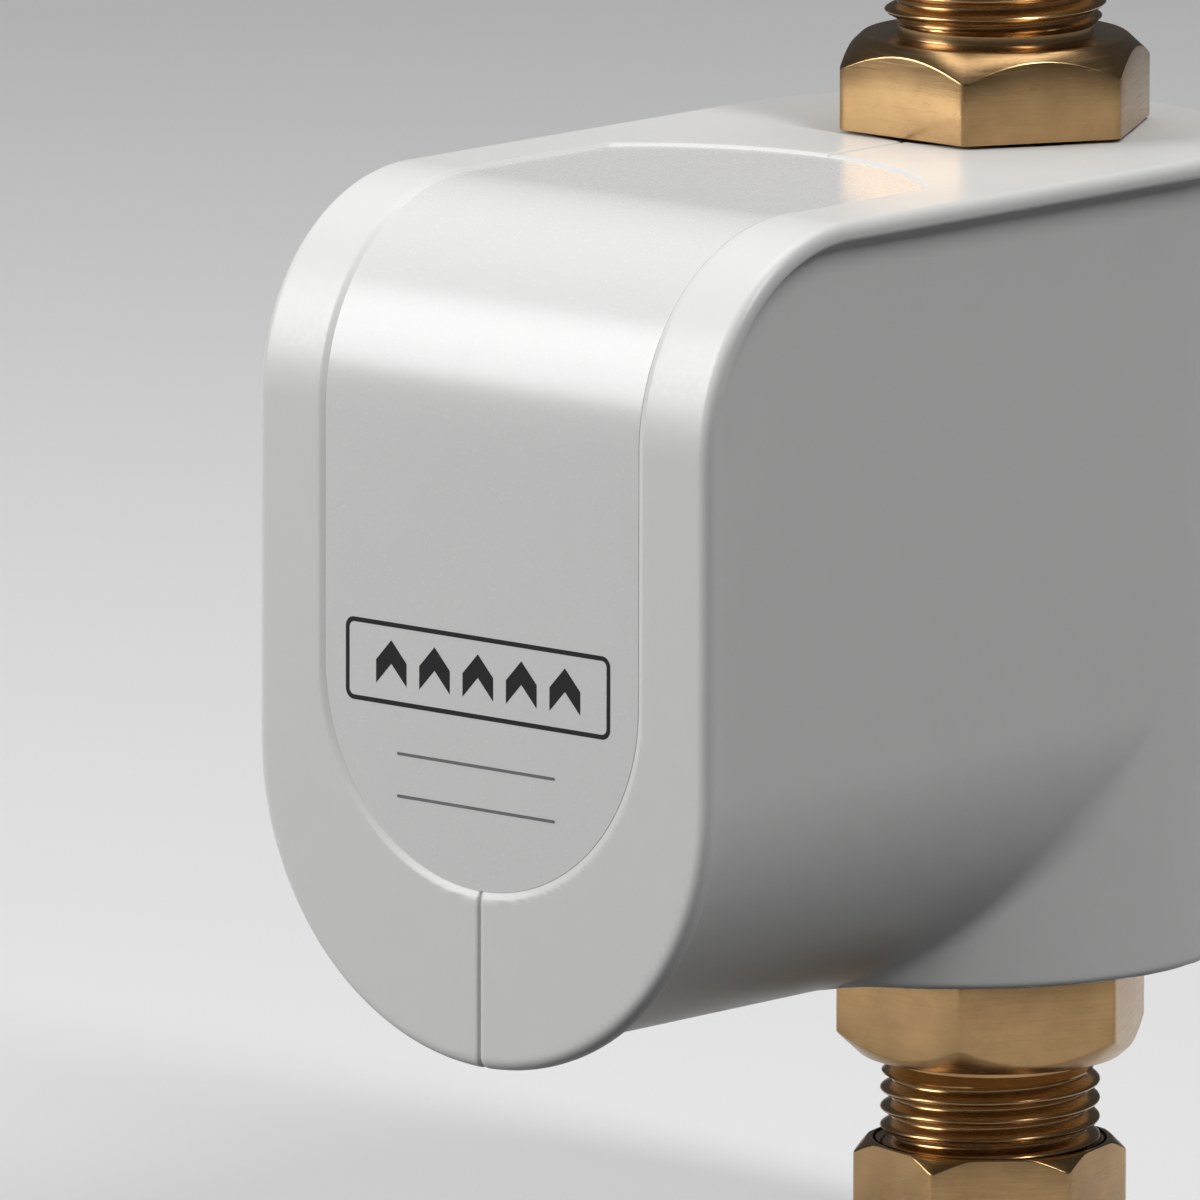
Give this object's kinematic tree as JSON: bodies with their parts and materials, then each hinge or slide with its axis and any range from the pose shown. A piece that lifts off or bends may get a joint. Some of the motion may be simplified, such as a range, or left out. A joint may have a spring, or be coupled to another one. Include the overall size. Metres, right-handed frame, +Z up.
{
  "type": "water booster pump",
  "caption": "In-line water booster pump in a deep white housing with a domed underside, and brass compression joints for 15 mm pipe above and below.",
  "frame": {"origin": "On the pipe axis, at the stop on which the end of the inlet pipe rests", "axes": "+Z up along the pipe axis and with the flow, +X to the right as seen from the front, and the front of the housing faces -Y"},
  "size_m": [0.056, 0.0973, 0.144],
  "materials": {
    "housing": "satin moulded white",
    "label": "smooth printed film",
    "joint_brass": "turned and lightly dulled",
    "olive_brass": "turned",
    "cast_brass": "cast and blasted",
    "rubber": "matt",
    "screw_steel": "plated",
    "stainless": "bright",
    "shell_aluminium": "drawn",
    "lamination": "stacked sheet",
    "ferrite": "ground",
    "carbon": "polished carbon",
    "winding": "enamelled copper wire",
    "white_plastic": "moulded",
    "grey_plastic": "moulded",
    "black_plastic": "moulded",
    "blue_plastic": "moulded",
    "green_plastic": "moulded",
    "red_plastic": "wire insulation",
    "board": "lacquered"
  },
  "bodies": {
    "pump": {"housing_left": "housing", "housing_right": "housing", "front_label": "label", "housing_screws": "screw_steel", "lower_isolator": "rubber", "upper_isolator": "rubber", "cable_grommet": "rubber", "inlet_fitting": "joint_brass", "outlet_fitting": "joint_brass", "inlet_washer": "rubber", "outlet_washer": "rubber", "inlet_strainer": "stainless", "turbine_cage": "grey_plastic", "turbine_axle": "stainless", "hall_sensor": "black_plastic", "sensor_lead": "black_plastic", "pump_body": "cast_brass", "wear_ring": "grey_plastic", "rear_bearing": "carbon", "bearing_plate": "stainless", "body_seal": "rubber", "rotor_can": "stainless", "front_bearing": "carbon", "bearing_mount": "rubber", "stator_core": "lamination", "stator_bobbin": "white_plastic", "stator_coils": "winding", "motor_shell": "shell_aluminium", "motor_leads": "red_plastic", "flange_screws": "screw_steel", "motor_buffer": "rubber", "circuit_board": "board", "board_capacitor": "black_plastic", "board_choke": "winding", "board_module": "blue_plastic", "board_chips": "black_plastic", "heat_sink": "shell_aluminium", "terminal_block": "green_plastic", "valve_cage": "grey_plastic", "valve_spring": "stainless"},
    "rotor": {"impeller": "white_plastic", "impeller_nut": "olive_brass", "rotor_shaft": "stainless", "rotor_magnet": "ferrite", "thrust_washer": "white_plastic"},
    "turbine": {"flow_turbine": "white_plastic", "turbine_magnet": "ferrite"},
    "poppet": {"valve_poppet": "white_plastic", "valve_seal": "rubber"},
    "inlet_olive_body": {"inlet_olive": "olive_brass"},
    "inlet_nut_body": {"inlet_nut": "joint_brass"},
    "outlet_olive_body": {"outlet_olive": "olive_brass"},
    "outlet_nut_body": {"outlet_nut": "joint_brass"}
  },
  "joints": [
    {"name": "rotor_spin", "type": "hinge", "parent": "pump", "child": "rotor", "pos_m": [0, 0, 0.0379], "axis": [0, -1, 0], "continuous": true},
    {"name": "turbine_spin", "type": "hinge", "parent": "pump", "child": "turbine", "pos_m": [0, 0, 0.0156], "axis": [0, 0, 1], "continuous": true},
    {"name": "poppet_lift", "type": "slide", "parent": "pump", "child": "poppet", "axis": [0, 0, 1], "range_m": [0, 0.0035], "stiffness_N_per_m": 60, "springref_m": -0.001, "deforming": ["valve_spring"]},
    {"name": "inlet_joint_travel", "type": "slide", "parent": "pump", "child": "inlet_olive_body", "axis": [0, 0, 1], "range_m": [-0.00635, 0]},
    {"name": "inlet_nut_turn", "type": "hinge", "parent": "inlet_olive_body", "child": "inlet_nut_body", "pos_m": [0, 0, -0.0147], "axis": [0, 0, 1], "range_deg": [-1260, 0]},
    {"name": "outlet_joint_travel", "type": "slide", "parent": "pump", "child": "outlet_olive_body", "axis": [0, 0, 1], "range_m": [0, 0.00635]},
    {"name": "outlet_nut_turn", "type": "hinge", "parent": "outlet_olive_body", "child": "outlet_nut_body", "pos_m": [0, 0, 0.1147], "axis": [0, 0, 1], "range_deg": [0, 1260]}
  ],
  "couplings": [
    {"joint": "inlet_joint_travel", "follows": "inlet_nut_turn", "m_per_rad": 0.00028871},
    {"joint": "outlet_joint_travel", "follows": "outlet_nut_turn", "m_per_rad": 0.00028871}
  ]
}
